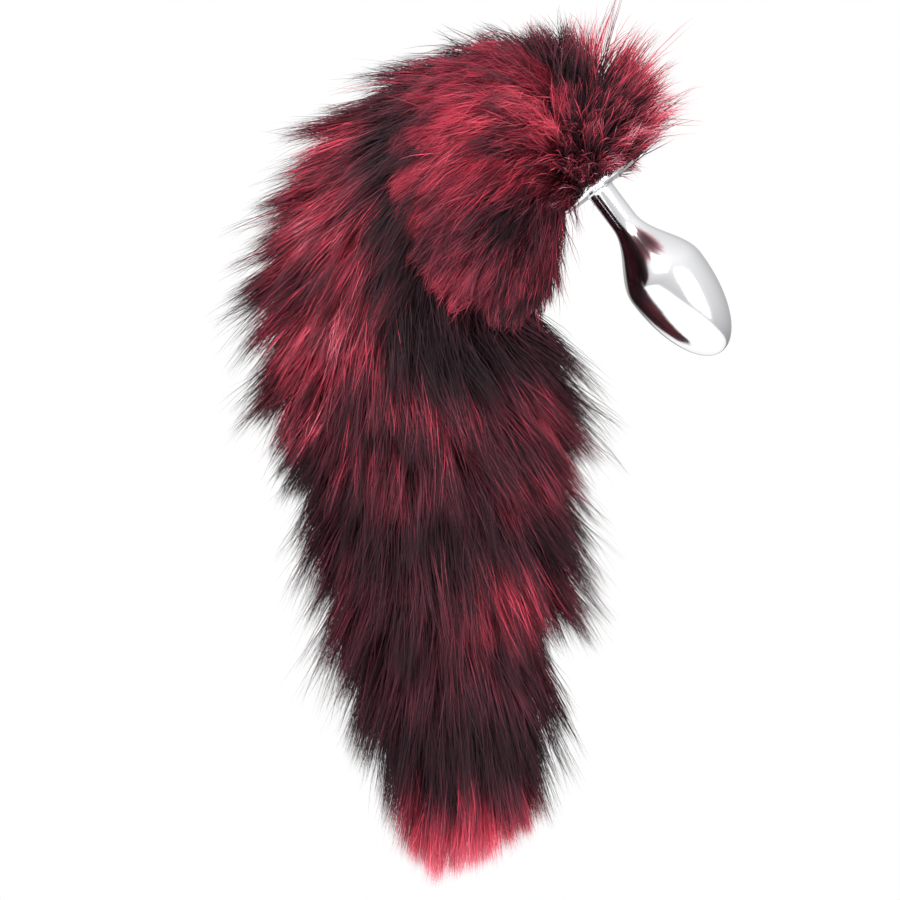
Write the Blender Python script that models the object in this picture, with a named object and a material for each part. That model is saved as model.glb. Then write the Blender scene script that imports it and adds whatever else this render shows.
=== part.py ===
"""A dyed fox-fur costume tail on a metal plug, in the form in which it hangs when its root is held.

Units are metres, with Z up. The front is toward -Y, and +X is to the right as seen from there. The origin
is the middle of the front face of the plug's base. The plug's neck and head run from it down to the right,
and the tail leaves the back of the base, arches up to the left and hangs behind, down to its tip.
"""

import math

import bmesh
import bpy
from mathutils import Matrix, Vector

# The plug, turned in one piece
PLUG_LEAN = math.radians(37)
BASE_WIDTH = 0.030
BASE_THICKNESS = 0.005
NECK_WIDTH = 0.009
NECK_LENGTH = 0.013
HEAD_WIDTH = 0.028
HEAD_LENGTH = 0.054
HEAD_WIDEST = 0.44
EDGE_ROUNDING = 0.0015
PLUG_SIDES = 24
SWELL_STEPS = 6
NOSE_STEPS = 6
SEAT_GAP = 0.0003

# The tail's middle line
ROOT_STEM = 0.010
TAIL_REACH = 0.067
ARCH_RISE = 0.021
TAIL_DROP = 0.206
TAIL_SETBACK = 0.024

# The backing, which is the pelt with its dense underfur
BACKING_WIDTH = 0.077
BACKING_SIDES = 20
BACKING_RINGS = 22

# The locks of long hair
LOCK_LENGTH = 0.044
LOCK_WIDTH = 0.027
LOCK_THICKNESS = 0.014
LOCK_SIDES = 5
LOCK_ROOTING = 0.35
LOCK_DROOP = 0.22

# How far locks stray from their even places: shares of their spacing and length, and degrees of lift
STRAY_TURN = 0.12
STRAY_LENGTH = 0.07
STRAY_LIFT = 4

# The front locks, which fan out from the root
LOBE_LENGTH = 0.066
LOBE_WIDTH = 0.029
LOBE_THICKNESS = 0.019
LOBE_BULGE = 0.030
LOBE_ROOT = 0.055
LOBE_DEPTH = 0.45
LOBE_RETURN = 0.66
LOBE_DROOP = 0.10

# Middle line: shares of TAIL_REACH, TAIL_SETBACK, ARCH_RISE and TAIL_DROP
MIDDLE_LINE = (
    # across, back, rise, drop
    (0.24, 0.00, 0.90, 0.000),
    (0.44, 0.08, 1.00, 0.000),
    (0.70, 0.30, 0.50, 0.000),
    (0.92, 0.57, 0.00, 0.037),
    (1.00, 0.78, 0.00, 0.148),
    (0.93, 0.91, 0.00, 0.267),
    (0.84, 0.98, 0.00, 0.394),
    (0.75, 1.00, 0.00, 0.584),
    (0.68, 1.00, 0.00, 0.775),
    (0.65, 0.98, 0.00, 0.920),
    (0.68, 0.96, 0.00, 1.000),
)

# Backing: place along the middle line, and radius as a share of half of BACKING_WIDTH
BACKING = (
    # along, radius
    (0.000, 0.34),
    (0.012, 0.46),
    (0.050, 0.56),
    (0.120, 0.61),
    (0.220, 0.66),
    (0.320, 0.74),
    (0.420, 0.90),
    (0.500, 0.98),
    (0.600, 0.86),
    (0.700, 0.72),
    (0.800, 0.59),
    (0.880, 0.47),
    (0.950, 0.34),
    (1.000, 0.12),
)

# Rows of locks, each a ring round the backing: lift is in degrees from the middle line
ROWS = (
    # along, count, turn, lift, length, width
    (0.022, 9, 0.00, 96, 0.66, 0.84),
    (0.050, 9, 0.50, 68, 0.70, 0.92),
    (0.095, 9, 0.00, 46, 0.78, 1.00),
    (0.145, 10, 0.50, 36, 0.88, 1.00),
    (0.200, 10, 0.00, 30, 0.96, 1.02),
    (0.260, 11, 0.50, 27, 1.00, 1.02),
    (0.325, 11, 0.00, 26, 1.02, 1.04),
    (0.390, 12, 0.50, 25, 1.04, 1.02),
    (0.455, 12, 0.00, 25, 1.04, 1.02),
    (0.520, 12, 0.50, 22, 1.04, 1.02),
    (0.590, 11, 0.00, 20, 1.02, 1.02),
    (0.660, 11, 0.50, 18, 1.00, 0.96),
    (0.725, 10, 0.00, 17, 0.96, 0.92),
    (0.790, 9, 0.50, 16, 0.94, 0.86),
    (0.850, 8, 0.00, 14, 0.90, 0.78),
    (0.905, 7, 0.50, 12, 0.80, 0.68),
    (0.945, 6, 0.00, 9, 0.68, 0.58),
)

# How wide a lock is along its length: place, share of its width
LOCK_SECTIONS = (
    (0.00, 0.70),
    (0.40, 1.00),
    (0.74, 0.72),
)

# Front locks: direction in degrees from +X round toward +Z, and shares of LOBE_LENGTH and LOBE_BULGE
LOBE = (
    # direction, length, bulge
    (140, 0.66, 0.60),
    (158, 0.76, 0.64),
    (176, 0.84, 0.68),
    (194, 0.90, 0.72),
    (211, 0.96, 0.76),
    (228, 1.00, 0.78),
    (245, 1.00, 0.76),
    (262, 0.94, 0.70),
    (152, 0.54, 0.92),
    (178, 0.62, 1.00),
    (202, 0.68, 1.05),
    (226, 0.72, 1.05),
    (250, 0.70, 0.95),
)


def remove_everything():
    """Removes the scene's own objects."""
    for obj in list(bpy.data.objects):
        bpy.data.objects.remove(obj)


def finish(name, red, green, blue, roughness, metallic):
    """A material of one colour."""
    material = bpy.data.materials.new(name)
    material.use_nodes = True
    shader = material.node_tree.nodes["Principled BSDF"]
    shader.inputs["Base Color"].default_value = (red, green, blue, 1)
    shader.inputs["Roughness"].default_value = roughness
    shader.inputs["Metallic"].default_value = metallic
    return material


def object_from(bm, name, material=None):
    """An object that holds this mesh, in the scene."""
    mesh = bpy.data.meshes.new(name)
    bmesh.ops.recalc_face_normals(bm, faces=bm.faces)
    bm.to_mesh(mesh)
    bm.free()
    obj = bpy.data.objects.new(name, mesh)
    bpy.context.scene.collection.objects.link(obj)
    if material:
        mesh.materials.append(material)
    return obj


def plug_direction():
    """Which way the plug points, from its base to its nose."""
    return Vector((math.sin(PLUG_LEAN), 0, -math.cos(PLUG_LEAN)))


def smooth_line(points, steps=24):
    """A smooth curve through these points, as closely spaced points."""
    line = []
    for i in range(len(points) - 1):
        before = points[max(i - 1, 0)]
        start = points[i]
        end = points[i + 1]
        after = points[min(i + 2, len(points) - 1)]
        for step in range(steps):
            t = step / steps
            line.append(
                0.5
                * (
                    2 * start
                    + (end - before) * t
                    + (2 * before - 5 * start + 4 * end - after) * t**2
                    + (3 * start - before - 3 * end + after) * t**3
                )
            )
    line.append(points[-1])
    return line


class MiddleLine:
    """The line down the middle of the tail, from the plug's base round the arch to the tip."""

    def __init__(self):
        leaving = -plug_direction()
        points = [Vector((0, 0, 0)), leaving * (BASE_THICKNESS + ROOT_STEM)]
        for across, back, rise, drop in MIDDLE_LINE:
            height = ARCH_RISE * rise - TAIL_DROP * drop
            points.append(Vector((-TAIL_REACH * across, TAIL_SETBACK * back, height)))
        self.points = smooth_line(points)
        self.reached = [0.0]
        for a, b in zip(self.points, self.points[1:]):
            self.reached.append(self.reached[-1] + (b - a).length)
        self.length = self.reached[-1]

    def place(self, along):
        """The point at this share of the line's length."""
        wanted = min(max(along, 0), 1) * self.length
        last = len(self.points) - 1
        i = next((k for k in range(1, last) if self.reached[k] >= wanted), last)
        step = self.reached[i] - self.reached[i - 1]
        return self.points[i - 1].lerp(self.points[i], (wanted - self.reached[i - 1]) / step)

    def axes(self, along):
        """The line's direction there, the way to the front and the way to the outer side."""
        small = 0.004
        if along < small:
            forward = -plug_direction()
        else:
            forward = (self.place(along + small) - self.place(along - small)).normalized()
        front = Vector((0, -1, 0))
        front = (front - forward * front.dot(forward)).normalized()
        return forward, front, forward.cross(front)


def read_table(table, along):
    """The second column of a table at this place, on straight lines between its rows."""
    for (low, first), (high, second) in zip(table, table[1:]):
        if along <= high:
            return first + (second - first) * (along - low) / (high - low)
    return table[-1][1]


def backing_radius(along):
    return BACKING_WIDTH / 2 * read_table(BACKING, along)


def make_backing(line):
    """The pelt with its underfur, swept along the middle line."""
    bm = bmesh.new()
    rings = []
    for k in range(BACKING_RINGS):
        # Rings lie closer together at the two ends
        along = 0.5 - 0.5 * math.cos(math.pi * k / (BACKING_RINGS - 1))
        middle = line.place(along)
        _, front, outer = line.axes(along)
        radius = backing_radius(along)
        ring = []
        for side in range(BACKING_SIDES):
            angle = 2 * math.pi * side / BACKING_SIDES
            ring.append(bm.verts.new(middle + radius * (math.cos(angle) * front + math.sin(angle) * outer)))
        rings.append(ring)
    for ring, following in zip(rings, rings[1:]):
        for side in range(BACKING_SIDES):
            other = (side + 1) % BACKING_SIDES
            bm.faces.new((ring[side], ring[other], following[other], following[side]))
    bm.faces.new(rings[0])
    bm.faces.new(rings[-1])
    return object_from(bm, "backing")


def make_lock(start, direction, bend, length, width, thickness, broadside):
    """One tapered lock, wide along broadside, from a point inside the backing to its fine end."""
    bm = bmesh.new()
    rings = []

    def on_path(t):
        return start + direction * (length * t) + bend * (length * t * t)

    for t, share in LOCK_SECTIONS:
        middle = on_path(t)
        forward = (on_path(t + 0.05) - on_path(t)).normalized()
        lift = forward.cross(broadside).normalized()
        across = lift.cross(forward)
        ring = []
        for side in range(LOCK_SIDES):
            angle = 2 * math.pi * (side + 0.5) / LOCK_SIDES
            wide = math.cos(angle) * width / 2 * share
            thick = math.sin(angle) * thickness / 2 * share
            ring.append(bm.verts.new(middle + across * wide + lift * thick))
        rings.append(ring)
    for ring, following in zip(rings, rings[1:]):
        for side in range(LOCK_SIDES):
            other = (side + 1) % LOCK_SIDES
            bm.faces.new((ring[side], ring[other], following[other], following[side]))
    end = bm.verts.new(on_path(1))
    for side in range(LOCK_SIDES):
        bm.faces.new((rings[-1][side], rings[-1][(side + 1) % LOCK_SIDES], end))
    bm.faces.new(rings[0])
    return object_from(bm, "lock")


def make_rows(line):
    """The rings of locks all along the tail."""
    down = Vector((0, 0, -1))
    locks = []
    for row, (along, count, turn, lift, length, width) in enumerate(ROWS):
        forward, front, outer = line.axes(along)
        middle = line.place(along)
        radius = backing_radius(along)
        for k in range(count):
            # A small steady variation keeps neighbouring locks from lying in one plane
            stray = math.sin(7.3 * row + 2.9 * k)
            angle = 2 * math.pi * (k + turn + STRAY_TURN * stray) / count
            outward = math.cos(angle) * front + math.sin(angle) * outer
            slope = math.radians(lift + STRAY_LIFT * stray)
            direction = forward * math.cos(slope) + outward * math.sin(slope)
            start = middle + outward * radius - direction * LOCK_ROOTING * LOCK_LENGTH * length
            total = LOCK_LENGTH * length * (1 + LOCK_ROOTING + STRAY_LENGTH * stray)
            locks.append(
                make_lock(
                    start,
                    direction,
                    down * LOCK_DROOP,
                    total,
                    LOCK_WIDTH * width,
                    LOCK_THICKNESS * width,
                    outward.cross(forward),
                )
            )
    return locks


def make_lobe(line):
    """The long locks that fan out over the front from the root."""
    front = Vector((0, -1, 0))
    centre = line.place(LOBE_ROOT) + front * backing_radius(LOBE_ROOT) * LOBE_DEPTH
    locks = []
    for turned, length, bulge in LOBE:
        angle = math.radians(turned)
        across = Vector((math.cos(angle), 0, math.sin(angle)))
        total = LOBE_LENGTH * length
        rise = 2 * LOBE_BULGE * bulge / total
        direction = across + front * rise
        # The lock rises to the front and comes back to the body, drooping a little
        bend = -front * rise * LOBE_RETURN + Vector((0, 0, -LOBE_DROOP))
        locks.append(
            make_lock(centre, direction, bend, total, LOBE_WIDTH, LOBE_THICKNESS, across.cross(front))
        )
    return locks


def shells_of(bm):
    """The mesh's separate closed shells, each as a set of its faces."""
    left = set(bm.faces)
    shells = []
    while left:
        reached = {left.pop()}
        to_visit = list(reached)
        while to_visit:
            face = to_visit.pop()
            for edge in face.edges:
                # More than two faces meet where a pocket only touches the outer shell
                for other in edge.link_faces if len(edge.link_faces) == 2 else ():
                    if other in left:
                        left.remove(other)
                        reached.add(other)
                        to_visit.append(other)
        shells.append(reached)
    return shells


def fill_hollows(bm):
    """Leaves the outer shell alone, so that no pocket of air stays sealed between the locks."""
    shells = sorted(shells_of(bm), key=len)
    for shell in shells[:-1]:
        bmesh.ops.delete(bm, geom=list(shell), context="FACES")


def make_seat_cutter():
    """The room that the tail leaves for the plug: all that lies in front of the back of its base."""
    length = SEAT_GAP + BASE_THICKNESS + NECK_LENGTH + HEAD_LENGTH + SEAT_GAP
    bm = bmesh.new()
    bmesh.ops.create_cone(
        bm,
        cap_ends=True,
        segments=PLUG_SIDES,
        radius1=BASE_WIDTH / 2 + SEAT_GAP,
        radius2=BASE_WIDTH / 2 + SEAT_GAP,
        depth=length,
    )
    turn = Vector((0, 0, 1)).rotation_difference(plug_direction()).to_matrix().to_4x4()
    middle = plug_direction() * (length / 2 - BASE_THICKNESS - SEAT_GAP)
    bmesh.ops.transform(bm, matrix=Matrix.Translation(middle) @ turn, verts=bm.verts)
    return object_from(bm, "seat cutter")


def add_boolean(obj, operation, other=None, group=None):
    modifier = obj.modifiers.new(operation.lower(), "BOOLEAN")
    modifier.operation = operation
    modifier.solver = "EXACT"
    if group:
        modifier.operand_type = "COLLECTION"
        modifier.collection = group
    else:
        modifier.object = other


def fuse_and_cut(name, main, others, cutter, material):
    """One closed body made of the main shape and the others, less the cutter."""
    group = bpy.data.collections.new("locks")
    for obj in others:
        bpy.context.scene.collection.objects.unlink(obj)
        group.objects.link(obj)
    bpy.context.scene.collection.children.link(group)
    add_boolean(main, "UNION", group=group)
    add_boolean(main, "DIFFERENCE", other=cutter)
    bpy.context.view_layer.update()
    graph = bpy.context.evaluated_depsgraph_get()
    bm = bmesh.new()
    bm.from_mesh(main.evaluated_get(graph).to_mesh())
    fill_hollows(bm)
    for obj in [main, cutter, *others]:
        bpy.data.objects.remove(obj)
    bpy.data.collections.remove(group)
    return object_from(bm, name, material)


def make_tail():
    line = MiddleLine()
    locks = make_rows(line) + make_lobe(line)
    fur = finish("dyed fur", 0.30, 0.03, 0.05, 0.85, 0.0)
    return fuse_and_cut("fur_tail", make_backing(line), locks, make_seat_cutter(), fur)


def arc(away, along, radius, first, last, steps):
    """Points on a round edge, as distances from the plug's axis and along it, with angles in degrees."""
    angles = [math.radians(first + (last - first) * k / steps) for k in range(steps + 1)]
    return [(away + radius * math.cos(a), along + radius * math.sin(a)) for a in angles]


def plug_profile():
    """Half of the plug's outline, as distances from its axis and along it, from the base to the nose."""
    half_base = BASE_WIDTH / 2
    half_neck = NECK_WIDTH / 2
    half_head = HEAD_WIDTH / 2
    rim = half_base - EDGE_ROUNDING
    outline = [(0, -BASE_THICKNESS)]
    outline += arc(rim, EDGE_ROUNDING - BASE_THICKNESS, EDGE_ROUNDING, -90, 0, 2)
    outline += arc(rim, -EDGE_ROUNDING, EDGE_ROUNDING, 0, 90, 2)
    # The neck's foot is a cove
    outline += arc(half_neck + EDGE_ROUNDING, EDGE_ROUNDING, EDGE_ROUNDING, 270, 180, 2)
    # The head swells from the neck and closes in a round nose
    swell_length = HEAD_LENGTH * HEAD_WIDEST
    for k in range(SWELL_STEPS):
        share = k / SWELL_STEPS
        swell = 0.5 - 0.5 * math.cos(math.pi * share)
        outline.append((half_neck + (half_head - half_neck) * swell, NECK_LENGTH + swell_length * share))
    for k in range(NOSE_STEPS):
        turned = math.pi / 2 * k / NOSE_STEPS
        reach = swell_length + (HEAD_LENGTH - swell_length) * math.sin(turned)
        outline.append((half_head * math.cos(turned), NECK_LENGTH + reach))
    outline.append((0, NECK_LENGTH + HEAD_LENGTH))
    return outline


def make_plug():
    """The metal plug, spun about its axis and leaned to its place."""
    bm = bmesh.new()
    verts = [bm.verts.new((away, 0, along)) for away, along in plug_profile()]
    edges = [bm.edges.new(pair) for pair in zip(verts, verts[1:])]
    bmesh.ops.spin(
        bm,
        geom=verts + edges,
        cent=(0, 0, 0),
        axis=(0, 0, 1),
        angle=2 * math.pi,
        steps=PLUG_SIDES,
        use_merge=True,
    )
    bmesh.ops.remove_doubles(bm, verts=bm.verts, dist=1e-5)
    turn = Vector((0, 0, 1)).rotation_difference(plug_direction()).to_matrix()
    bmesh.ops.transform(bm, matrix=turn.to_4x4(), verts=bm.verts)
    plug = object_from(bm, "plug", finish("polished steel", 0.72, 0.72, 0.74, 0.12, 1.0))
    plug.data.shade_smooth()
    plug.data.set_sharp_from_angle(angle=math.radians(50))
    return plug


remove_everything()
make_plug()
make_tail()
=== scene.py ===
"""The looks of a dyed fox-fur costume tail on a polished metal plug.

Units are metres, with Z up, the front toward -Y and +X to the right. The fur is made strand by strand: each
strand is a thin tapered ribbon that grows out of the pelt and leans toward the end of its tuft. Its colour
goes along the strand as a tone, from black through red to pale pink, and is darkened toward the root by
painted shade, which stands for the shade deep in the fur.
"""

import math

import bpy
import numpy as np
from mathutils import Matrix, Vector, kdtree


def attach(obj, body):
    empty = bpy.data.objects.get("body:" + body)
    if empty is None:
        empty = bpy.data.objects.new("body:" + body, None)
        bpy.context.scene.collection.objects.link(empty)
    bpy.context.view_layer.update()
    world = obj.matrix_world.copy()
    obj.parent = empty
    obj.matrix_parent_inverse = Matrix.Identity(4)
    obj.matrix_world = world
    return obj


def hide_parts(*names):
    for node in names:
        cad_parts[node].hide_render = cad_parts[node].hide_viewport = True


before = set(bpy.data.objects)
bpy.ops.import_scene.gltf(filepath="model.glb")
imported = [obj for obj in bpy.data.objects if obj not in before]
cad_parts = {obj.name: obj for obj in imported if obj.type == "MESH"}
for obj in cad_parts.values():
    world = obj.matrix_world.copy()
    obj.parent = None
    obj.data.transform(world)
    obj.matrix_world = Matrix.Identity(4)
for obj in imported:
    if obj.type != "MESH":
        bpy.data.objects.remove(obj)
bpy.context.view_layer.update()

# The plug, as the frame has it
PLUG_LEAN = math.radians(37)
BASE_WIDTH = 0.030
BASE_THICKNESS = 0.005
NECK_WIDTH = 0.009
NECK_LENGTH = 0.013
HEAD_WIDTH = 0.028
HEAD_LENGTH = 0.054
HEAD_WIDEST = 0.44
EDGE_ROUNDING = 0.0015
PLUG_SIDES = 72
HEAD_STEPS = np.arange(20) / 20

# The tail's middle line and backing, as the frame has them
ROOT_STEM = 0.010
TAIL_REACH = 0.067
ARCH_RISE = 0.021
TAIL_DROP = 0.206
TAIL_SETBACK = 0.024
BACKING_WIDTH = 0.077
MIDDLE_LINE = (
    # across, back, rise, drop
    (0.24, 0.00, 0.90, 0.000),
    (0.44, 0.08, 1.00, 0.000),
    (0.70, 0.30, 0.50, 0.000),
    (0.92, 0.57, 0.00, 0.037),
    (1.00, 0.78, 0.00, 0.148),
    (0.93, 0.91, 0.00, 0.267),
    (0.84, 0.98, 0.00, 0.394),
    (0.75, 1.00, 0.00, 0.584),
    (0.68, 1.00, 0.00, 0.775),
    (0.65, 0.98, 0.00, 0.920),
    (0.68, 0.96, 0.00, 1.000),
)
BACKING = (
    # along, radius
    (0.000, 0.34),
    (0.012, 0.46),
    (0.050, 0.56),
    (0.120, 0.61),
    (0.220, 0.66),
    (0.320, 0.74),
    (0.420, 0.90),
    (0.500, 0.98),
    (0.600, 0.86),
    (0.700, 0.72),
    (0.800, 0.59),
    (0.880, 0.47),
    (0.950, 0.34),
    (1.000, 0.12),
)

# The underfur's radius, as a share of the backing's
UNDERFUR_RADIUS = 0.90

# Even the thin end of the tail is as thickly haired as though its radius were this much larger
LEAST_GIRTH = 0.004

# The long hair: its full length, and how far its end droops, as a share of its length
LOCK_LENGTH = 0.044
LOCK_DROOP = 0.26

# Where the hair is unruly, round the root, it sweeps up and to the right
SWEEP = np.array((0.30, 0, 0.45))

# How the long hair lies along the tail: degrees from the middle line, share of LOCK_LENGTH, and how unruly
LIE = (
    # along, lift, length, unruly
    (0.000, 80, 0.68, 1.8),
    (0.022, 80, 0.72, 1.8),
    (0.050, 64, 0.76, 1.6),
    (0.095, 46, 0.78, 1.2),
    (0.145, 40, 0.80, 1.0),
    (0.200, 42, 0.80, 1.0),
    (0.260, 47, 0.76, 1.0),
    (0.325, 50, 0.76, 1.0),
    (0.390, 49, 0.78, 1.0),
    (0.460, 45, 0.79, 1.0),
    (0.520, 41, 0.80, 1.0),
    (0.590, 37, 0.80, 1.0),
    (0.660, 33, 0.80, 1.0),
    (0.730, 28, 0.80, 1.0),
    (0.790, 24, 0.82, 1.0),
    (0.850, 21, 0.84, 1.0),
    (0.905, 18, 0.84, 1.0),
    (0.945, 14, 0.78, 1.0),
    (1.000, 6, 0.72, 1.0),
)

# How much longer or shorter hair is on the outer and the inner side, and how much more it stands out
SIDES = (
    # along, outer length, inner length, outer lift
    (0.06, 0.00, 0.00, 0),
    (0.12, -0.31, 0.00, 0),
    (0.17, -0.15, 0.00, 0),
    (0.21, 0.00, 0.00, 0),
    (0.26, -0.04, 0.00, 6),
    (0.34, -0.04, 0.00, 12),
    (0.40, -0.12, 0.05, 16),
    (0.45, -0.20, 0.12, 16),
    (0.50, -0.38, 0.00, 12),
    (0.55, -0.32, -0.10, 8),
    (0.60, -0.08, -0.12, 4),
    (0.65, 0.06, 0.12, 2),
    (0.68, 0.12, 0.10, 0),
    (0.72, 0.14, -0.35, 0),
    (0.77, 0.34, -0.45, 0),
    (0.82, 0.35, -0.06, 0),
    (0.87, 0.24, 0.20, 0),
    (1.00, 0.10, 0.05, 0),
)

# Where one tier of fur ends over the next along the tail: hair is longer and stands out more toward the end
TIERS = np.array((0.0, 0.09, 0.17, 0.24, 0.31, 0.38, 0.455, 0.54, 0.63, 0.72, 0.82, 1.01))
TIER_LENGTH = 0.30
TIER_LIFT = 12

# A tier's edge waves by this share of the tail, this often round it, and is turned from tier to tier
TIER_WOBBLE = 0.010
TIER_WAVES = 2
TIER_TURN = 9

# The lowest that hair hangs at each place across, which gives the slanting end, and the least share of its
# length that a hair keeps there
HEM_LEAST = 0.25
HEM = (
    # across, height
    (-0.100, -0.172),
    (-0.084, -0.194),
    (-0.074, -0.214),
    (-0.058, -0.2320),
    (-0.034, -0.224),
    (-0.014, -0.212),
    (0.000, -0.196),
)

# The front locks fan out from the root over a mound. Its reach and bulge, where along the tail it starts and
# how deep in the backing, and how far it turns back and droops toward its edge
LOBE_LENGTH = 0.066
LOBE_BULGE = 0.030
LOBE_ROOT = 0.055
LOBE_DEPTH = 0.45
LOBE_RETURN = 0.66
LOBE_DROOP = 0.20

# Where the locks part: half the height of the seam that they start from, how far its ends lie back and how
# it changes from hair to hair, and how far the hair splays to the sides
LOBE_SEAM = 0.013
LOBE_SEAM_BACK = 0.15
LOBE_SEAM_CHANGE = 0.25
LOBE_SPLAY = 0.2

# The hair over the mound: its length, its lift in degrees, how far it curls inward and sags with that, how
# deep it roots, and the share of the mound's reach that it may end at
LOBE_HAIR = 0.027
LOBE_LIFT = 30
LOBE_CURL = 0.34
LOBE_SAG = 0.5
LOBE_SINK = 0.004
LOBE_OVERHANG = 1.04

# The mound's under layer and over layer in each direction, in degrees, as shares of its reach and bulge
LOBE_FAN = (
    # direction, under length, under bulge, over length, over bulge
    (140, 0.50, 0.50, 0.38, 0.76),
    (156, 0.77, 0.60, 0.56, 0.90),
    (174, 0.94, 0.68, 0.70, 1.00),
    (198, 1.02, 0.73, 0.75, 1.05),
    (220, 0.85, 0.78, 0.67, 1.05),
    (240, 0.68, 0.75, 0.56, 0.95),
    (256, 0.54, 0.68, 0.46, 0.88),
)

# One strand: its points lie at these shares of its length, it has these shares of its width at all but the
# last, where it ends in a point, and its width changes by these from strand to strand
STRAND_POINTS = np.array((0.0, 0.30, 0.58, 0.82, 1.0))
STRAND_TAPER = np.array((0.80, 1.0, 0.78, 0.38))
STRAND_WIDTH = 0.00029
WIDTH_CHANGE = (0.7, 1.25)

# A slight wave in each strand: how far it strays, and the radians that it turns by along the strand
FRIZZ = 0.0019
FRIZZ_TURN = 4.2

# A ribbon faces outward, give or take these degrees, and is lit as though it faced between its own way and
# straight out of the pelt, by these shares of the two
RIBBON_TURN = 80
FACING_SHARE = 0.6
OUTWARD_SHARE = 0.7

# How far hairs stray: a share of their length that they bend aside by, the most times as far as that, and
# radians that they turn by
STRAY_BEND = 0.10
STRAY_MOST = 2
STRAY_TURN = 0.15

# Tufts: degrees and radians that they stray by, their lengths, and how far out in the pelt they root
TUFT_LIFT = 6
TUFT_TURN = 0.16
TUFT_LENGTHS = (0.80, 1.14)
TUFT_ROOTING = 0.92

# Single hairs: degrees from the lowest layer to the highest, their lengths, and where they root
LAYER_LIFT = 26
HAIR_LENGTHS = (0.62, 1.05)
HAIR_ROOTING = (0.70, 1.0)

# Tufts and hairs of the front locks: how far out over the mound they root, their layers and lengths, and
# degrees up and aside that they stray by. Hairs root more thickly toward the outside
LOBE_TUFT_STARTS = (0.02, 0.80)
LOBE_TUFT_LAYERS = (0.2, 0.9)
LOBE_TUFT_LENGTHS = (0.90, 1.15)
LOBE_TUFT_STRAY = (8, 13)
LOBE_HAIR_CROWDING = 0.8
LOBE_HAIR_OUTERMOST = 0.86
LOBE_HAIR_LENGTHS = (0.75, 1.10)
LOBE_HAIR_STRAY = (11, 12)

# How hard hairs are drawn to the end of their tuft, how that grows along them, the share that flies loose,
# and where along them hairs and tufts are matched
TUFT_PULL = (0.45, 0.85)
PULL_GROWTH = 1.5
LOOSE_SHARE = 0.11
LOOSE_PULL = 0.1
TUFT_MATCH = 0.35

# Hairs that grow from one spot of the pelt, this wide, take the dye alike, which gives the streaks
STREAK_WIDTH = 0.0017
STREAK_TONE = 0.10
STREAK_COUNT = 4099
STREAK_MIX = (73, 1289, 2671)

# Changes of tone from tuft to tuft and from hair to hair, and how far the dye and painted shade stray from
# their dabs
TUFT_TONE = 0.06
HAIR_TONE = 0.06
DYE_STRAY = 0.0025

# The dye and painted shade are more even where they are dark, and chance alone makes no hair redder than
# this
LEAST_UNEVEN = 0.4
MOST_RED = 0.86

# Stretches of the tail, each a piece: name, where it starts and ends along the tail, strands, tufts
STRETCHES = (
    ("fur_root", 0.000, 0.070, 9000, 170),
    ("fur_arch", 0.070, 0.220, 18000, 260),
    ("fur_upper", 0.220, 0.380, 23000, 330),
    ("fur_middle", 0.380, 0.560, 25000, 360),
    ("fur_lower", 0.560, 0.760, 21000, 300),
    ("fur_tip", 0.760, 1.000, 15000, 220),
)
LOBE_STRANDS = 25000
LOBE_TUFTS = 420

# Tones, from 0 to 1, and the colour of dyed fox hair at each
TONES = (
    # tone, red, green, blue
    (0.00, 14, 10, 12),
    (0.15, 38, 24, 29),
    (0.30, 72, 33, 42),
    (0.45, 110, 43, 56),
    (0.60, 150, 50, 66),
    (0.75, 190, 55, 75),
    (0.85, 214, 73, 93),
    (0.93, 230, 116, 134),
    (1.00, 240, 190, 204),
)

# How a dab's dye thins out from its middle, and how sharp its edge is
DAB_THINNING = 0.7
DAB_EDGE = 1.5
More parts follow.
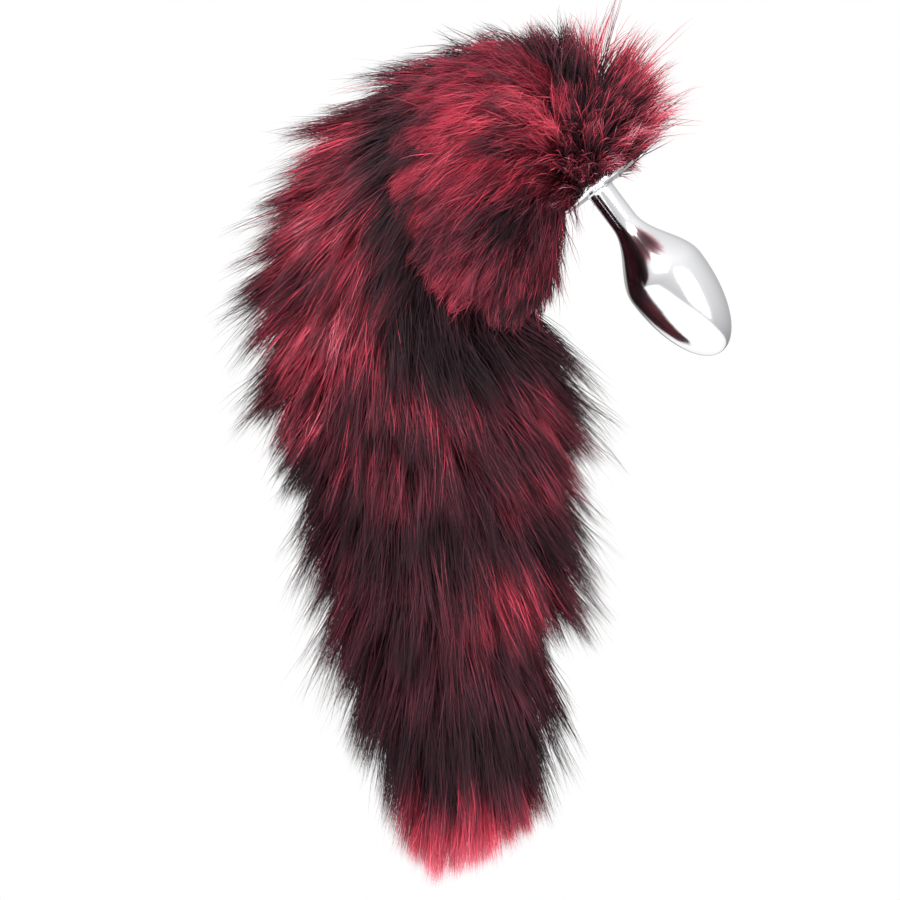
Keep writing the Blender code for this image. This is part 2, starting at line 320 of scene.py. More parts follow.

# Dabs of dye on the body, laid one over another, where the near-black dabs behind and below the front locks
# also paint the shade in that crevice: middle, half width and half height in millimetres from the origin as
# seen from the front, tone, and strength
BODY_DYE_AND_SHADE = (
    # across, up, half_width, half_height, tone, strength
    (-50, -90, 300, 300, 0.31, 1.0),
    (26, 44, 18, 22, 0.95, 1.0),
    (4, 62, 18, 9, 0.90, 0.9),
    (-38, 37, 17, 8, 0.42, 1.0),
    (-63, 32, 12, 8, 0.64, 0.9),
    (-43, 50, 22, 6, 0.34, 0.7),
    (-22, 20, 9, 12, 0.80, 1.0),
    (-18, 48, 9, 9, 0.26, 0.9),
    (5, 49, 9, 9, 0.94, 1.0),
    (-12, 36, 8, 9, 0.18, 0.9),
    (12, 20, 10, 8, 0.40, 0.9),
    (24, 33, 9, 6, 0.82, 1.0),
    (8, 31, 9, 8, 0.28, 0.9),
    (-24, 60, 5, 8, 0.80, 0.9),
    (-5, 28, 8, 5, 0.10, 0.9),
    (-9, 32, 8, 8, 0.04, 1.0),
    (-83, 27, 12, 8, 0.48, 0.9),
    (-94, 14, 12, 9, 0.94, 1.0),
    (-79, 14, 10, 9, 0.46, 0.9),
    (-99, 1, 12, 8, 0.88, 1.0),
    (-83, 2, 10, 8, 0.54, 0.9),
    (-94, -18, 19, 11, 0.97, 1.0),
    (-80, -28, 11, 10, 0.72, 0.9),
    (-110, -26, 7, 12, 0.46, 0.8),
    (-89, -38, 18, 4, 0.54, 0.7),
    (-88, -54, 18, 11, 0.98, 1.0),
    (-104, -52, 9, 12, 0.90, 0.9),
    # Near black in the crevice behind and below the front locks: black dye and painted shade together
    (-69, 11, 8, 16, 0.08, 1.0),
    (-68, -13, 7, 18, 0.05, 1.0),
    (-63, -39, 9, 16, 0.00, 1.0),
    (-43, -57, 27, 9, 0.02, 1.0),
    (-17, -61, 12, 9, 0.22, 0.9),
    (-100, -78, 10, 7, 0.98, 1.0),
    (-84, -90, 9, 7, 0.66, 0.9),
    (-84, -74, 8, 6, 0.40, 0.9),
    (-63, -101, 14, 6, 0.58, 0.9),
    (-66, -74, 9, 8, 0.64, 0.9),
    (-48, -81, 8, 10, 0.62, 0.9),
    (-34, -77, 6, 10, 0.42, 0.9),
    (-20, -74, 9, 8, 0.66, 0.9),
    (-7, -93, 9, 10, 0.74, 0.9),
    (-24, -103, 12, 10, 0.62, 0.9),
    (-79, -82, 6, 4, 0.22, 0.8),
    (-68, -89, 6, 4, 0.20, 0.8),
    (-58, -90, 5, 5, 0.24, 0.8),
    (-22, -87, 8, 5, 0.24, 0.8),
    (-42, -101, 6, 7, 0.24, 0.8),
    (-103, -94, 12, 6, 0.24, 0.8),
    (-52, -118, 60, 9, 0.22, 1.0),
    (-88, -133, 11, 10, 0.46, 0.9),
    (-48, -141, 10, 8, 0.44, 0.9),
    (-24, -135, 12, 9, 0.92, 1.0),
    (-30, -146, 16, 6, 0.64, 0.9),
    (-9, -136, 7, 9, 0.46, 0.9),
    (-52, -157, 50, 6, 0.29, 0.9),
    (-26, -166, 16, 6, 0.34, 0.9),
    (-66, -166, 12, 8, 0.24, 0.8),
    (-48, -186, 60, 13, 0.15, 1.0),
    (-46, -224, 60, 16, 0.91, 1.0),
    (-50, -211, 8, 6, 0.80, 0.8),
    (-46, -228, 9, 5, 0.99, 0.9),
)

# Dabs of dye on the front locks, where the near-black dabs low on them also paint the shadow under the locks
LOBE_DYE_AND_SHADE = (
    # across, up, half_width, half_height, tone, strength
    (-40, 0, 200, 200, 0.64, 1.0),
    (-42, 38, 15, 7, 0.42, 0.9),
    (-30, 20, 20, 10, 0.94, 1.0),
    (-22, 12, 12, 11, 0.93, 1.0),
    (-50, 8, 12, 8, 0.78, 0.9),
    (-61, -4, 8, 13, 0.76, 0.9),
    (-63, 21, 10, 8, 0.52, 0.8),
    # Near black low on the front locks: black dye and painted shadow under the locks together
    (-30, -16, 23, 13, 0.10, 1.0),
    (-53, -14, 6, 8, 0.44, 0.9),
    (-58, -24, 8, 8, 0.30, 0.9),
    (-43, -34, 9, 7, 0.44, 1.0),
    (-14, -14, 8, 22, 0.30, 0.9),
    # Near black at the bottom of the front locks: black dye and painted shadow together
    (-23, -41, 13, 11, 0.14, 1.0),
)

# The tone of the hair's own tips along the tail, and how many of the hairs have such tips
TIP_TONE = (
    # along, tone, share
    (0.00, 1.00, 0.85),
    (0.05, 0.86, 0.55),
    (0.09, 0.40, 0.40),
    (0.16, 0.20, 0.60),
    (0.30, 0.14, 0.75),
    (0.62, 0.12, 0.70),
    (0.88, 0.14, 0.50),
    (0.93, 0.90, 0.40),
    (1.00, 0.97, 0.60),
)
LOBE_TIP_TONE = 0.70
LOBE_TIP_SHARE = 0.14

# Where along a hair its tip's tone starts to come in, and how soon it is all there
TIP_STARTS = (0.42, 0.80)
TIP_FADE = 0.22

# Painted shade: how light a hair is painted from its root, deep in the fur where shade falls, to its tip,
# and how that changes from hair to hair
SHADE = (
    # along, shade
    (0.00, 0.35),
    (0.25, 0.62),
    (0.60, 0.90),
    (1.00, 1.00),
)
SHADE_CHANGE = (0.78, 1.0)
# The near-black colour that the painted shade mixes a hair toward
PAINTED_SHADE_COLOUR = (0.004, 0.003, 0.004, 1)

# The two edges of a ribbon are this far apart in tone and shade, so that its map has a width
EDGE_STEP = 0.01

# Stage and camera
VIEW_CENTRE = Vector((-0.0493, 0.010, -0.086))
VIEW_DISTANCE = 0.90
VIEW_WIDTH = 0.300
SENSOR_WIDTH = 36
FLOOR_HEIGHT = -0.50
FLOOR_REACH = 1.30
LIGHTS = (
    # name, place, size, power
    ("key light", (-0.45, -1.1, 0.75), 0.9, 25),
    ("fill light", (0.7, -1.0, 0.1), 0.8, 10),
)
ROOM_LIGHT = (
    # axis, strength toward its low end, strength toward its high end
    ("Z", 0.30, 1.05),
    ("Y", 0.30, -0.15),
)

rng = np.random.default_rng(20)


def column(table, which):
    return np.array([row[which] for row in table])


def unit(vectors):
    return vectors / np.maximum(np.linalg.norm(vectors, axis=-1, keepdims=True), 1e-9)


def linear(value):
    """The linear value of an sRGB value from 0 to 255."""
    share = value / 255
    return share / 12.92 if share <= 0.04045 else ((share + 0.055) / 1.055) ** 2.4


def plug_direction():
    return np.array((math.sin(PLUG_LEAN), 0, -math.cos(PLUG_LEAN)))


def smooth_line(points, steps=24):
    """A smooth curve through these points, as closely spaced points."""
    padded = np.vstack((points[0], points, points[-1]))
    t = (np.arange(steps) / steps)[:, None]
    runs = []
    for before, start, end, after in zip(padded, padded[1:], padded[2:], padded[3:]):
        bend = (2 * before - 5 * start + 4 * end - after) * t**2
        swing = (3 * start - before - 3 * end + after) * t**3
        runs.append(0.5 * (2 * start + (end - before) * t + bend + swing))
    return np.vstack((*runs, points[-1]))


class MiddleLine:
    """The line down the middle of the tail, from the plug's base round the arch to the tip."""

    def __init__(self):
        across = column(MIDDLE_LINE, 0)
        back = column(MIDDLE_LINE, 1)
        height = ARCH_RISE * column(MIDDLE_LINE, 2) - TAIL_DROP * column(MIDDLE_LINE, 3)
        stem = -plug_direction() * (BASE_THICKNESS + ROOT_STEM)
        rest = np.column_stack((-TAIL_REACH * across, TAIL_SETBACK * back, height))
        self.points = smooth_line(np.vstack((np.zeros(3), stem, rest)))
        steps = np.linalg.norm(np.diff(self.points, axis=0), axis=1)
        self.reached = np.concatenate(((0,), np.cumsum(steps)))
        self.length = self.reached[-1]

    def place(self, along):
        wanted = np.clip(along, 0, 1) * self.length
        return np.column_stack([np.interp(wanted, self.reached, axis) for axis in self.points.T])

    def axes(self, along):
        """The line's direction there, the way to the front and the way to the outer side."""
        small = 0.004
        forward = unit(self.place(along + small) - self.place(along - small))
        front = np.tile((0.0, -1.0, 0.0), (len(forward), 1))
        front = unit(front - forward * (front * forward).sum(axis=1, keepdims=True))
        return forward, front, np.cross(forward, front)


line = MiddleLine()


def backing_radius(along):
    return BACKING_WIDTH / 2 * np.interp(along, column(BACKING, 0), column(BACKING, 1))


def spread_along(count, low, high):
    """Places along the tail, closer together where the pelt is wider, and angles round it."""
    fine = np.linspace(low, high, 400)
    weight = np.cumsum(backing_radius(fine) + LEAST_GIRTH)
    weight = (weight - weight[0]) / (weight[-1] - weight[0])
    even = (np.arange(count) + rng.random(count)) / count
    return np.interp(even, weight, fine), rng.random(count) * 2 * math.pi


def tier_share(along, angle):
    """How far each place lies from its tier's start, 0, to its end, 1."""
    wavy = along + TIER_WOBBLE * np.sin(TIER_WAVES * angle + TIER_TURN * along)
    which = np.clip(np.searchsorted(TIERS, wavy, side="right") - 1, 0, len(TIERS) - 2)
    return np.clip((wavy - TIERS[which]) / (TIERS[which + 1] - TIERS[which]), 0, 1)


def within_hem(root, direction, bend):
    """The share of its length at which each hair still ends above the slanting end of the tail."""
    end = root + direction + bend
    lowest = np.interp(end[:, 0], column(HEM, 0), column(HEM, 1))
    drop = np.maximum(root[:, 2] - end[:, 2], 1e-4)
    return np.clip((root[:, 2] - lowest) / drop, HEM_LEAST, 1)[:, None]


def stray_bends(count):
    """How each hair bends aside by itself, as a share of its length."""
    return np.clip(rng.normal(size=(count, 3)), -STRAY_MOST, STRAY_MOST) * STRAY_BEND


def body_hair(along, angle, lift_change, turn_change, length_share, rooting):
    """Each hair's root, its direction times its length, its bend and the way out of the pelt there."""
    forward, front, outer = line.axes(along)
    outward = np.cos(angle)[:, None] * front + np.sin(angle)[:, None] * outer
    around = np.cross(forward, outward)
    tier = tier_share(along, angle) - 0.5
    on_outer = np.maximum(np.sin(angle), 0)
    on_inner = np.maximum(-np.sin(angle), 0)
    outer_length, inner_length, outer_lift = (
        np.interp(along, column(SIDES, 0), column(SIDES, which)) for which in (1, 2, 3)
    )
    lift, lie_length, unruly = (np.interp(along, column(LIE, 0), column(LIE, which)) for which in (1, 2, 3))
    slope = np.radians(lift + lift_change * unruly + TIER_LIFT * tier + outer_lift * on_outer)[:, None]
    aside = around * (turn_change * unruly)[:, None]
    sweep = SWEEP * (unruly - 1)[:, None]
    direction = forward * np.cos(slope) + outward * np.sin(slope) + aside + sweep
    length = LOCK_LENGTH * lie_length * (1 + (length_share - 1) * unruly)
    length *= 1 + TIER_LENGTH * tier
    length *= 1 + outer_length * on_outer + inner_length * on_inner
    root = line.place(along) + outward * (backing_radius(along) * rooting)[:, None]
    direction = unit(direction) * length[:, None]
    bend = (np.array((0, 0, -LOCK_DROOP)) + stray_bends(len(along))) * length[:, None]
    share = within_hem(root, direction, bend)
    return root, direction * share, bend * share, outward


def lobe_hair(turned, started, layer, length_share, seam_change, stray):
    """The same for the front locks, which are drawn over a mound that fans out from the root.

    Each hair starts at a share of the way out over the mound, and layer runs from 0, under, to 1, over.
    """
    angle = np.radians(turned)
    degrees = column(LOBE_FAN, 0)
    under_length, under_bulge, over_length, over_bulge = (
        np.interp(turned, degrees, column(LOBE_FAN, which)) for which in (1, 2, 3, 4)
    )
    reach = LOBE_LENGTH * (under_length + (over_length - under_length) * layer)
    bulge = LOBE_BULGE * (under_bulge + (over_bulge - under_bulge) * layer)
    across = np.column_stack((np.cos(angle), np.zeros_like(angle), np.sin(angle)))
    front = np.array((0.0, -1.0, 0.0))
    down = np.array((0.0, 0.0, -1.0))
    start = line.place(np.array([LOBE_ROOT]))[0] + front * backing_radius(LOBE_ROOT) * LOBE_DEPTH
    fanned = (turned - degrees[0]) / (degrees[-1] - degrees[0])
    seam = LOBE_SEAM * (np.cos(math.pi * fanned) + seam_change)
    outset = across * reach[:, None] + front * (2 * bulge)[:, None]
    falling = -front * (2 * bulge * LOBE_RETURN)[:, None] + down * (LOBE_DROOP * reach)[:, None]
    t = started[:, None]
    parted = np.column_stack((-LOBE_SEAM_BACK * np.abs(seam), np.zeros_like(seam), seam))
    root = start + parted + outset * t + falling * t**2
    forward = unit(outset + 2 * falling * t)
    outward = unit(front - forward * (forward @ front)[:, None] + LOBE_SPLAY * across)
    slope = np.radians(LOBE_LIFT + stray[:, 0])[:, None]
    sideways = np.cross(forward, outward) * np.radians(stray[:, 1])[:, None]
    way = unit(forward * np.cos(slope) + outward * np.sin(slope) + sideways)
    length = np.minimum(LOBE_HAIR, (LOBE_OVERHANG - started) * reach) * length_share
    bend = ((down * LOBE_SAG - outward) * LOBE_CURL + stray_bends(len(length))) * length[:, None]
    return root - outward * LOBE_SINK, way * length[:, None], bend, outward


def tips(root, direction, bend):
    return root + direction + bend


def nearest(points, others):
    """For each point, which of the others is nearest."""
    tree = kdtree.KDTree(len(others))
    for number, other in enumerate(others):
        tree.insert(other, number)
    tree.balance()
    return np.array([tree.find(point)[1] for point in points])


def gathered(hair, tuft, pull):
    """Points along each hair, whose outer part leans toward the end of the tuft that it is nearest to."""
    root, direction, bend, _ = hair
    t = STRAND_POINTS[None, :, None]
    own = root[:, None] + direction[:, None] * t + bend[:, None] * t**2
    tuft_tips = tips(*tuft[:3])
    which = nearest(root + TUFT_MATCH * direction, tuft[0] + TUFT_MATCH * tuft[1])
    lean = (tuft_tips[which] - tips(root, direction, bend)) * pull[:, None]
    return own + lean[:, None] * t**PULL_GROWTH, which


def frizz(points):
    """A slight wave in each hair, which grows toward its end."""
    count = len(points)
    way = unit(rng.normal(size=(count, 3)))[:, None]
    phase = rng.random(count)[:, None, None] * 2 * math.pi
    t = STRAND_POINTS[None, :, None]
    return points + way * FRIZZ * t * np.sin(phase + t * FRIZZ_TURN)


def dyed_and_shaded(points, dabs):
    """The tone at each point, from the dabs of dye and painted shade laid one over another."""
    across = points[..., 0] * 1000
    up = points[..., 2] * 1000
    tone = np.zeros_like(across)
    for middle_across, middle_up, half_width, half_height, dab_tone, strength in dabs:
        away = ((across - middle_across) / half_width) ** 2 + ((up - middle_up) / half_height) ** 2
        cover = strength * np.exp(-DAB_THINNING * away**DAB_EDGE)
        tone += (dab_tone - tone) * cover
    return tone


def streaks(root):
    """A change of tone for each hair, the same for all hairs that grow from one spot."""
    spots = np.floor(root / STREAK_WIDTH).astype(int)
    changes = rng.normal(size=STREAK_COUNT) * STREAK_TONE
    return changes[(spots * STREAK_MIX).sum(axis=1) % STREAK_COUNT]


def ribbon_mesh(name, points, facing, outward, width, tone, shade):
    """One mesh of all these strands, each a tapered ribbon of three quads and a triangle."""
    count = len(points)
    along = np.empty_like(points)
    along[:, 1:-1] = points[:, 2:] - points[:, :-2]
    along[:, 0] = points[:, 1] - points[:, 0]
    along[:, -1] = points[:, -1] - points[:, -2]
    side = unit(np.cross(unit(along), facing[:, None]))
    half = 0.5 * width[:, None] * STRAND_TAPER
    left = points[:, :4] - side[:, :4] * half[..., None]
    right = points[:, :4] + side[:, :4] * half[..., None]
    verts = np.empty((count, 9, 3), np.float32)
    verts[:, 0:8:2] = left
    verts[:, 1:8:2] = right
    verts[:, 8] = points[:, 4]
    corners = np.array((0, 1, 3, 2, 2, 3, 5, 4, 4, 5, 7, 6, 6, 7, 8))
    loops = (np.arange(count)[:, None] * 9 + corners).astype(np.int32)
    starts = (np.arange(count)[:, None] * 15 + np.array((0, 4, 8, 12))).astype(np.int32)
    mesh = bpy.data.meshes.new(name)
    mesh.vertices.add(count * 9)
    mesh.vertices.foreach_set("co", verts.ravel())
    mesh.loops.add(count * 15)
    mesh.loops.foreach_set("vertex_index", loops.ravel())
    mesh.polygons.add(count * 4)
    mesh.polygons.foreach_set("loop_start", starts.ravel())
    mesh.update(calc_edges=True)
    mesh.shade_smooth()
    # The tone runs along the strand and the shade across the map, and each edge is a little off the other
    level = np.array((0, 0, 1, 1, 2, 2, 3, 3, 4))
    edge = np.array((-1, 1, -1, 1, -1, 1, -1, 1, 0)) * EDGE_STEP
    corner_tone = np.clip(tone[:, level] + edge, EDGE_STEP, 1 - EDGE_STEP)[:, corners]
    corner_shade = np.clip(shade[:, level] + edge, EDGE_STEP, 1 - EDGE_STEP)[:, corners]
    flat = np.stack((corner_tone, corner_shade), axis=-1).astype(np.float32)
    mesh.uv_layers.new(name="OFBake").data.foreach_set("uv", flat.ravel())
    normal = unit(facing * FACING_SHARE + outward * OUTWARD_SHARE)
    mesh.normals_split_custom_set_from_vertices(np.repeat(normal, 9, axis=0))
    obj = bpy.data.objects.new(name, mesh)
    bpy.context.scene.collection.objects.link(obj)
    return obj


def turned_about(direction, outward, most):
    """A way to face for each ribbon: outward, turned about the strand by up to this many degrees."""
    forward = unit(direction)
    face = unit(outward - forward * (outward * forward).sum(axis=1, keepdims=True))
    across = np.cross(forward, face)
    turn = np.radians(most) * (2 * rng.random(len(forward)) - 1)[:, None]
    return unit(face * np.cos(turn) + across * np.sin(turn))


def dress(obj, material):
    obj.data.materials.append(material)
    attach(obj, "root")
    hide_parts("fur_tail")


def finish_strands(name, hair, tuft, dabs, tip_tone, tip_share, material):
    """Tufts, colours and mesh for one stretch of fur."""
    root, direction, bend, outward = hair
    count = len(root)
    pull = rng.uniform(*TUFT_PULL, count)
    pull[rng.random(count) < LOOSE_SHARE] = LOOSE_PULL
    points, which = gathered(hair, tuft, pull)
    points = frizz(points)
    number_of_tufts = len(tuft[0])
    tuft_shift = rng.normal(size=(number_of_tufts, 1, 3)) * DYE_STRAY
    tuft_tone = rng.normal(size=number_of_tufts) * TUFT_TONE
    strand_shift = rng.normal(size=(count, 1, 3)) * DYE_STRAY
    # The tone from the dabs, which hold dye and, in the near-black dabs round the front locks, painted shade
    dye_and_shade = dyed_and_shaded(points + tuft_shift[which] + strand_shift, dabs)
    uneven = (tuft_tone[which] + streaks(root) + rng.normal(size=count) * HAIR_TONE)[:, None]
    uneven = uneven * (LEAST_UNEVEN + dye_and_shade)
    tone = np.minimum(dye_and_shade + uneven, np.maximum(dye_and_shade, MOST_RED))
    has_tip = (rng.random(count) < tip_share)[:, None]
    start = rng.uniform(*TIP_STARTS, count)[:, None]
    toward_tip = np.clip((STRAND_POINTS - start) / TIP_FADE, 0, 1) * has_tip
    tone = tone + (tip_tone[:, None] - tone) * toward_tip
    shade = np.interp(STRAND_POINTS, column(SHADE, 0), column(SHADE, 1))[None, :]
    shade = shade * rng.uniform(*SHADE_CHANGE, count)[:, None]
    width = STRAND_WIDTH * rng.uniform(*WIDTH_CHANGE, count)
    facing = turned_about(direction, outward, RIBBON_TURN)
    obj = ribbon_mesh(name, points, facing, outward, width, np.clip(tone, 0, 1), shade)
    dress(obj, material)
    return obj


def make_stretch(name, low, high, strands, tufts, material):
    """The long hair of one stretch of the tail."""
    along, angle = spread_along(tufts, low, high)
    tuft = body_hair(
        along,
        angle,
        rng.normal(size=tufts) * TUFT_LIFT,
        rng.normal(size=tufts) * TUFT_TURN,
        rng.uniform(*TUFT_LENGTHS, tufts),
        np.full(tufts, TUFT_ROOTING),
    )
    along, angle = spread_along(strands, low, high)
    layer = rng.random(strands)
    hair = body_hair(
        along,
        angle,
        (layer - 0.5) * LAYER_LIFT,
        rng.normal(size=strands) * STRAY_TURN,
        rng.uniform(*HAIR_LENGTHS, strands),
        rng.uniform(*HAIR_ROOTING, strands),
    )
    tip_tone = np.interp(along, column(TIP_TONE, 0), column(TIP_TONE, 1))
    tip_share = np.interp(along, column(TIP_TONE, 0), column(TIP_TONE, 2))
    finish_strands(name, hair, tuft, BODY_DYE_AND_SHADE, tip_tone, tip_share, material)


def make_lobe(material):
    """The front locks."""
    low = LOBE_FAN[0][0]
    high = LOBE_FAN[-1][0]
    tuft = lobe_hair(
        rng.uniform(low, high, LOBE_TUFTS),
        rng.uniform(*LOBE_TUFT_STARTS, LOBE_TUFTS),
        rng.uniform(*LOBE_TUFT_LAYERS, LOBE_TUFTS),
        rng.uniform(*LOBE_TUFT_LENGTHS, LOBE_TUFTS),
        rng.normal(size=LOBE_TUFTS) * LOBE_SEAM_CHANGE,
        rng.normal(size=(LOBE_TUFTS, 2)) * LOBE_TUFT_STRAY,
    )
    hair = lobe_hair(
        rng.uniform(low, high, LOBE_STRANDS),
        rng.random(LOBE_STRANDS) ** LOBE_HAIR_CROWDING * LOBE_HAIR_OUTERMOST,
        rng.random(LOBE_STRANDS),
        rng.uniform(*LOBE_HAIR_LENGTHS, LOBE_STRANDS),
        rng.normal(size=LOBE_STRANDS) * LOBE_SEAM_CHANGE,
        rng.normal(size=(LOBE_STRANDS, 2)) * LOBE_HAIR_STRAY,
    )
    tip_tone = np.full(LOBE_STRANDS, LOBE_TIP_TONE)
    finish_strands("fur_lobe", hair, tuft, LOBE_DYE_AND_SHADE, tip_tone, LOBE_TIP_SHARE, material)


def tone_group():
    """The colour and gloss of a hair by its tone and its painted shade, for every fur material."""
    group = bpy.data.node_groups.new("hair dye and painted shade", "ShaderNodeTree")
    group.interface.new_socket(name="Tone", in_out="INPUT", socket_type="NodeSocketFloat")
    group.interface.new_socket(name="Shade", in_out="INPUT", socket_type="NodeSocketFloat")
    group.interface.new_socket(name="Color", in_out="OUTPUT", socket_type="NodeSocketColor")
    group.interface.new_socket(name="Roughness", in_out="OUTPUT", socket_type="NodeSocketFloat")
    inputs = group.nodes.new("NodeGroupInput")
    outputs = group.nodes.new("NodeGroupOutput")
    ramp = group.nodes.new("ShaderNodeValToRGB")
    elements = ramp.color_ramp.elements
    while len(elements) > 1:
        elements.remove(elements[0])
    for number, (tone, *colour) in enumerate(TONES):
        element = elements[0] if number == 0 else elements.new(tone)
        element.position = tone
        element.color = (*map(linear, colour), 1)
    # Painted shade: the ramp's colour is mixed toward a near-black colour where the hair's shade is low,
    # deep in the fur
    painted_shade = group.nodes.new("ShaderNodeMix")
    painted_shade.data_type = "RGBA"
    painted_shade.blend_type = "MIX"
    rough = group.nodes.new("ShaderNodeMapRange")
    rough.inputs["To Min"].default_value = 0.52
    rough.inputs["To Max"].default_value = 0.40
    link = group.links.new
    link(inputs.outputs["Tone"], ramp.inputs["Fac"])
    link(inputs.outputs["Shade"], painted_shade.inputs["Factor"])
    painted_shade.inputs["A"].default_value = PAINTED_SHADE_COLOUR
    link(ramp.outputs["Color"], painted_shade.inputs["B"])
    link(inputs.outputs["Tone"], rough.inputs["Value"])
    link(painted_shade.outputs["Result"], outputs.inputs["Color"])
    link(rough.outputs["Result"], outputs.inputs["Roughness"])
    return group


def fur_material(group):
    material = bpy.data.materials.new("dyed fox hair")
    material.use_nodes = True
    nodes = material.node_tree.nodes
    shader = nodes["Principled BSDF"]
    shader.inputs["Specular IOR Level"].default_value = 0.13
    shader.inputs["Specular Tint"].default_value = (1.0, 0.75, 0.80, 1)
    where = nodes.new("ShaderNodeUVMap")
    where.uv_map = "OFBake"
    split = nodes.new("ShaderNodeSeparateXYZ")
    dye_and_shade = nodes.new("ShaderNodeGroup")
    dye_and_shade.node_tree = group
    link = material.node_tree.links.new
    link(where.outputs["UV"], split.inputs["Vector"])
    link(split.outputs["X"], dye_and_shade.inputs["Tone"])
    link(split.outputs["Y"], dye_and_shade.inputs["Shade"])
    link(dye_and_shade.outputs["Color"], shader.inputs["Base Color"])
    link(dye_and_shade.outputs["Roughness"], shader.inputs["Roughness"])
    return material


def underfur_material():
    """Short dense wool, painted nearly black as the shade deep in the fur between the tufts, a little
    uneven.
    """
    material = bpy.data.materials.new("underfur in painted shade")
    material.use_nodes = True
    nodes = material.node_tree.nodes
    shader = nodes["Principled BSDF"]
    shader.inputs["Roughness"].default_value = 0.95
    shader.inputs["Specular IOR Level"].default_value = 0.1
    place = nodes.new("ShaderNodeTexCoord")
    noise = nodes.new("ShaderNodeTexNoise")
    noise.inputs["Scale"].default_value = 900
    ramp = nodes.new("ShaderNodeValToRGB")
    # Near-black colours: painted shade deep in the fur, a little uneven
    ramp.color_ramp.elements[0].color = (0.006, 0.004, 0.005, 1)
    ramp.color_ramp.elements[1].color = (0.040, 0.014, 0.018, 1)
    bump = nodes.new("ShaderNodeBump")
    bump.inputs["Distance"].default_value = 0.0006
    link = material.node_tree.links.new
    link(place.outputs["Object"], noise.inputs["Vector"])
    link(noise.outputs["Fac"], ramp.inputs["Fac"])
    link(noise.outputs["Fac"], bump.inputs["Height"])
    link(ramp.outputs["Color"], shader.inputs["Base Color"])
    link(bump.outputs["Normal"], shader.inputs["Normal"])
    return material


def make_underfur(material):
    """The pelt with its short wool, drawn as a curve of changing thickness."""
    bpy.ops.object.select_all(action="DESELECT")
    bpy.ops.curve.primitive_nurbs_path_add()
    path = bpy.context.object
    path.name = "fur_underfur"
    path.data.splines.clear()
    spline = path.data.splines.new("POLY")
    # The rings stand closer together at both ends, which are round
    along = 0.5 - 0.5 * np.cos(np.linspace(0.06, math.pi, 60))
    spline.points.add(len(along) - 1)
    for point, middle, radius in zip(spline.points, line.place(along), backing_radius(along)):
        point.co = (*middle, 1)
        point.radius = radius * UNDERFUR_RADIUS
    path.data.bevel_depth = 1
    path.data.bevel_resolution = 6
    path.data.use_fill_caps = True
    bpy.ops.object.convert(target="MESH")
    bpy.ops.object.shade_smooth()
    dress(bpy.context.object, material)


def plug_profile():
    """Half of the plug's outline, as distances from its axis and along it, from the base to the nose."""
    def arc(away, along, first, last, steps=5):
        turns = np.radians(np.linspace(first, last, steps))
        return [(away + EDGE_ROUNDING * math.cos(a), along + EDGE_ROUNDING * math.sin(a)) for a in turns]

    half_neck = NECK_WIDTH / 2
    half_head = HEAD_WIDTH / 2
    rim = BASE_WIDTH / 2 - EDGE_ROUNDING
    outline = arc(rim, EDGE_ROUNDING - BASE_THICKNESS, -90, 0)
    outline += arc(rim, -EDGE_ROUNDING, 0, 90)
    outline += arc(half_neck + EDGE_ROUNDING, EDGE_ROUNDING, 270, 180)
    swell_length = HEAD_LENGTH * HEAD_WIDEST
    for share in HEAD_STEPS:
        swell = 0.5 - 0.5 * math.cos(math.pi * share)
        outline.append((half_neck + (half_head - half_neck) * swell, NECK_LENGTH + swell_length * share))
    for turn in HEAD_STEPS * math.pi / 2:
        reach = swell_length + (HEAD_LENGTH - swell_length) * math.sin(turn)
        outline.append((half_head * math.cos(turn), NECK_LENGTH + reach))
    return outline


def make_plug(material):
    """The plug, drawn up ring by ring from its base as on a lathe, then leaned to its place."""
    outline = plug_profile()
    bpy.ops.object.select_all(action="DESELECT")
    radius, height = outline[0]
    bpy.ops.mesh.primitive_circle_add(
        vertices=PLUG_SIDES, radius=radius, fill_type="TRIFAN", location=(0, 0, height)
    )
    plug = bpy.context.object
    plug.name = "plug_body"
    bpy.ops.object.transform_apply(location=True)
    bpy.ops.object.mode_set(mode="EDIT")
    bpy.ops.mesh.select_all(action="SELECT")
    for following_radius, following_height in outline[1:]:
        bpy.ops.mesh.extrude_region_move(
            TRANSFORM_OT_translate={"value": (0, 0, following_height - height)}
        )
        share = following_radius / radius
        bpy.ops.transform.resize(value=(share, share, 1), center_override=(0, 0, following_height))
        radius = following_radius
        height = following_height
    nose = (0, 0, NECK_LENGTH + HEAD_LENGTH - height)
    bpy.ops.mesh.extrude_region_move(TRANSFORM_OT_translate={"value": nose})
    bpy.ops.mesh.merge(type="CENTER")
    bpy.ops.mesh.select_all(action="SELECT")
    bpy.ops.mesh.normals_make_consistent(inside=False)
    bpy.ops.object.mode_set(mode="OBJECT")
    turn = Vector((0, 0, 1)).rotation_difference(Vector(plug_direction()))
    plug.data.transform(turn.to_matrix().to_4x4())
    bpy.ops.object.shade_smooth_by_angle(angle=math.radians(40))
    plug.data.materials.append(material)
    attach(plug, "root")
    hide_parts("plug")


def metal_material():
    """Polished metal with the faint marks of handling."""
    material = bpy.data.materials.new("polished metal")
    material.use_nodes = True
    nodes = material.node_tree.nodes
    shader = nodes["Principled BSDF"]
    shader.inputs["Base Color"].default_value = (0.72, 0.72, 0.74, 1)
    shader.inputs["Metallic"].default_value = 1
    place = nodes.new("ShaderNodeTexCoord")
    noise = nodes.new("ShaderNodeTexNoise")
    noise.inputs["Scale"].default_value = 120
    noise.inputs["Detail"].default_value = 6
    rough = nodes.new("ShaderNodeMapRange")
    rough.inputs["To Min"].default_value = 0.08
    rough.inputs["To Max"].default_value = 0.20
    link = material.node_tree.links.new
    link(place.outputs["Object"], noise.inputs["Vector"])
    link(noise.outputs["Fac"], rough.inputs["Value"])
    link(rough.outputs["Result"], shader.inputs["Roughness"])
    return material


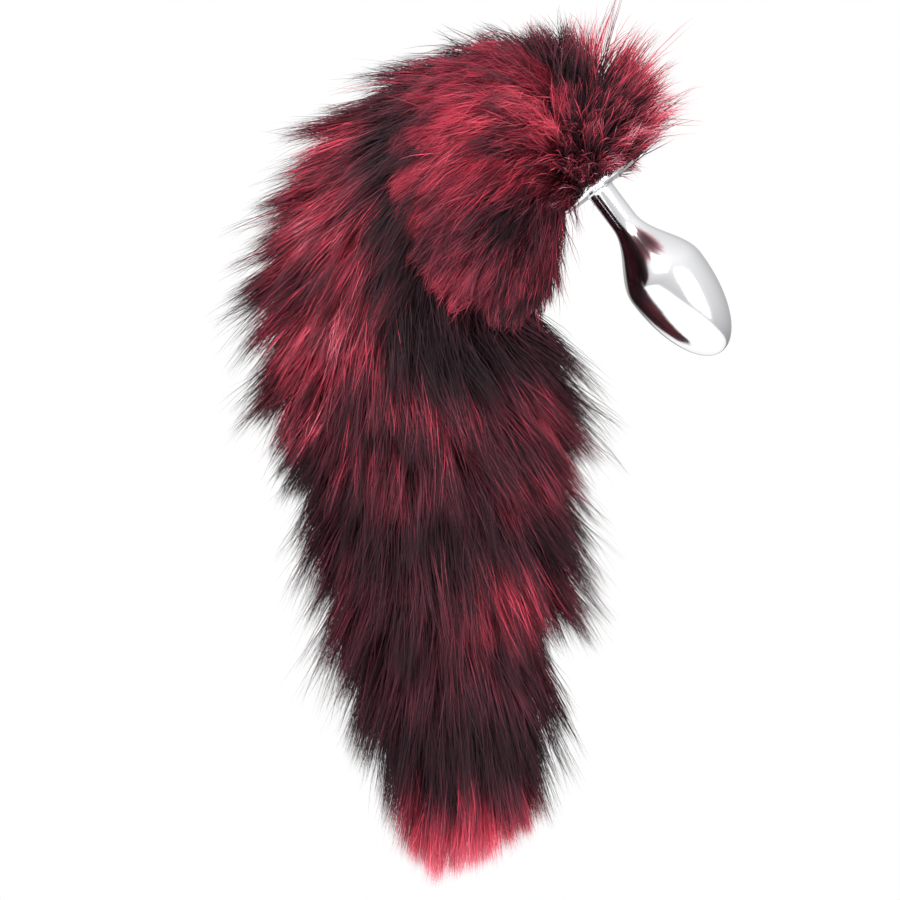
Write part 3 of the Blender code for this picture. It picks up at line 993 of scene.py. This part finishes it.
def light_the_room(tree):
    """A white background, and a room that is bright above and before the object, greyer behind and below."""
    nodes = tree.nodes
    link = tree.links.new
    background = nodes["Background"]
    way = nodes.new("ShaderNodeTexCoord")
    split = nodes.new("ShaderNodeSeparateXYZ")
    link(way.outputs["Generated"], split.inputs["Vector"])
    parts = []
    for axis, low, high in ROOM_LIGHT:
        part = nodes.new("ShaderNodeMapRange")
        part.inputs["From Min"].default_value = -0.6
        part.inputs["From Max"].default_value = 0.8
        part.inputs["To Min"].default_value = low
        part.inputs["To Max"].default_value = high
        link(split.outputs[axis], part.inputs["Value"])
        parts.append(part.outputs["Result"])
    room = nodes.new("ShaderNodeMath")
    link(parts[0], room.inputs[0])
    link(parts[1], room.inputs[1])
    path = nodes.new("ShaderNodeLightPath")
    seen = nodes.new("ShaderNodeMix")
    link(path.outputs["Is Camera Ray"], seen.inputs["Factor"])
    link(room.outputs["Value"], seen.inputs["A"])
    seen.inputs["B"].default_value = 1.0
    link(seen.outputs["Result"], background.inputs["Strength"])
    background.inputs["Color"].default_value = (1, 1, 1, 1)


def make_stage():
    """A plain pale floor below, soft lights and the camera."""
    bpy.ops.object.select_all(action="DESELECT")
    bpy.ops.mesh.primitive_circle_add(
        vertices=96, radius=FLOOR_REACH, fill_type="NGON", location=(VIEW_CENTRE.x, 0, FLOOR_HEIGHT)
    )
    floor = bpy.context.object
    floor.name = "floor"
    pale = bpy.data.materials.new("pale floor")
    pale.use_nodes = True
    pale.node_tree.nodes["Principled BSDF"].inputs["Base Color"].default_value = (0.9, 0.9, 0.9, 1)
    pale.node_tree.nodes["Principled BSDF"].inputs["Roughness"].default_value = 0.8
    floor.data.materials.append(pale)
    world = bpy.data.worlds.new("white studio")
    world.use_nodes = True
    light_the_room(world.node_tree)
    bpy.context.scene.world = world
    bpy.context.scene.view_settings.view_transform = "Standard"
    for name, place, size, power in LIGHTS:
        bpy.ops.object.light_add(type="AREA", location=place)
        light = bpy.context.object
        light.name = name
        light.data.size = size
        light.data.energy = power
        light.rotation_euler = (VIEW_CENTRE - Vector(place)).to_track_quat("-Z", "Y").to_euler()
    bpy.ops.object.camera_add(location=VIEW_CENTRE - Vector((0, VIEW_DISTANCE, 0)))
    camera = bpy.context.object
    camera.rotation_euler = (math.radians(90), 0, 0)
    camera.data.sensor_width = SENSOR_WIDTH
    camera.data.lens = SENSOR_WIDTH * VIEW_DISTANCE / VIEW_WIDTH
    bpy.context.scene.camera = camera


make_stage()
make_plug(metal_material())
fur = fur_material(tone_group())
make_underfur(underfur_material())
for stretch in STRETCHES:
    make_stretch(*stretch, fur)
make_lobe(fur)
